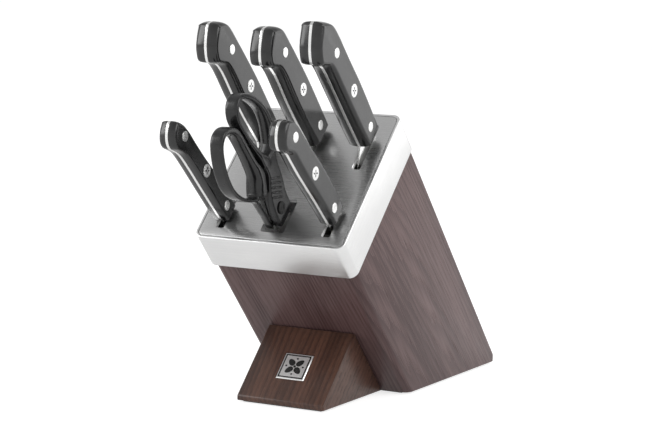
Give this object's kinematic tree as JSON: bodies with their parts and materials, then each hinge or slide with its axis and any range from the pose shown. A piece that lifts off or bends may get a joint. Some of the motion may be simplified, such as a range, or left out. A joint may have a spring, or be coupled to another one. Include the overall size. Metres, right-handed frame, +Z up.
{
  "type": "knife block with knives",
  "caption": "Leaning wooden knife block with a metal collar, riveted full-tang kitchen knives and a pair of scissors, each drawn out of its own slot.",
  "frame": {"origin": "middle of the sole that the block's body stands on, at table height", "axes": "+X to the block's right as seen from the front, +Y to the back (the way the block's base reaches), +Z up; the slots lean 45 degrees towards the front (-Y)"},
  "size_m": [0.1296, 0.3966, 0.3011],
  "materials": {
    "wood": "dark stained ash, matt lacquer",
    "collar": "satin brushed",
    "plate": "dark satin",
    "steel": "polished and ground",
    "scale": "satin black",
    "grip": "fine matt black",
    "rivet": "polished",
    "cartridge": "matt black",
    "stone": "unglazed ceramic",
    "rubber": "matt"
  },
  "bodies": {
    "block": {"badge_plate": "collar", "body_sole": "rubber", "carving_honing_carrier": "cartridge", "carving_honing_left_rod": "stone", "carving_honing_right_rod": "stone", "chef_honing_carrier": "cartridge", "chef_honing_left_rod": "stone", "chef_honing_right_rod": "stone", "collar": "collar", "foot_sole": "rubber", "foot_wedge": "wood", "left_middle_board": "wood", "left_side_board": "wood", "paring_honing_carrier": "cartridge", "paring_honing_left_rod": "stone", "paring_honing_right_rod": "stone", "right_middle_board": "wood", "right_side_board": "wood", "top_plate": "plate", "utility_honing_carrier": "cartridge", "utility_honing_left_rod": "stone", "utility_honing_right_rod": "stone"},
    "chef_knife": {"chef_knife_blade": "steel", "chef_knife_front_rivet": "rivet", "chef_knife_left_scale": "scale", "chef_knife_middle_rivet": "rivet", "chef_knife_rear_rivet": "rivet", "chef_knife_right_scale": "scale"},
    "bread_knife": {"bread_knife_blade": "steel", "bread_knife_front_rivet": "rivet", "bread_knife_left_scale": "scale", "bread_knife_middle_rivet": "rivet", "bread_knife_rear_rivet": "rivet", "bread_knife_right_scale": "scale"},
    "carving_knife": {"carving_knife_blade": "steel", "carving_knife_front_rivet": "rivet", "carving_knife_left_scale": "scale", "carving_knife_middle_rivet": "rivet", "carving_knife_rear_rivet": "rivet", "carving_knife_right_scale": "scale"},
    "utility_knife": {"utility_knife_blade": "steel", "utility_knife_front_rivet": "rivet", "utility_knife_left_scale": "scale", "utility_knife_middle_rivet": "rivet", "utility_knife_rear_rivet": "rivet", "utility_knife_right_scale": "scale"},
    "paring_knife": {"paring_knife_blade": "steel", "paring_knife_front_rivet": "rivet", "paring_knife_left_scale": "scale", "paring_knife_middle_rivet": "rivet", "paring_knife_rear_rivet": "rivet", "paring_knife_right_scale": "scale"},
    "scissors_rear_half": {"scissors_rear_blade": "steel", "scissors_rear_grip": "grip", "scissors_pivot_screw": "rivet", "scissors_pivot_nut": "rivet"},
    "scissors_front_half": {"scissors_front_blade": "steel", "scissors_front_grip": "grip"}
  },
  "joints": [
    {"name": "chef_knife_draw", "type": "slide", "parent": "block", "child": "chef_knife", "axis": [0, -0.7071, 0.7071], "range_m": [0, 0.2]},
    {"name": "bread_knife_draw", "type": "slide", "parent": "block", "child": "bread_knife", "axis": [0, -0.7071, 0.7071], "range_m": [0, 0.215]},
    {"name": "carving_knife_draw", "type": "slide", "parent": "block", "child": "carving_knife", "axis": [0, -0.7071, 0.7071], "range_m": [0, 0.215]},
    {"name": "utility_knife_draw", "type": "slide", "parent": "block", "child": "utility_knife", "axis": [0, -0.7071, 0.7071], "range_m": [0, 0.14]},
    {"name": "paring_knife_draw", "type": "slide", "parent": "block", "child": "paring_knife", "axis": [0, -0.7071, 0.7071], "range_m": [0, 0.115]},
    {"name": "scissors_draw", "type": "slide", "parent": "block", "child": "scissors_rear_half", "axis": [0, -0.7071, 0.7071], "range_m": [0, 0.1]},
    {"name": "scissors_pivot", "type": "hinge", "parent": "scissors_rear_half", "child": "scissors_front_half", "pos_m": [0, -0.21564, 0.15857], "axis": [1, 0, 0], "range_deg": [0, 15]}
  ]
}
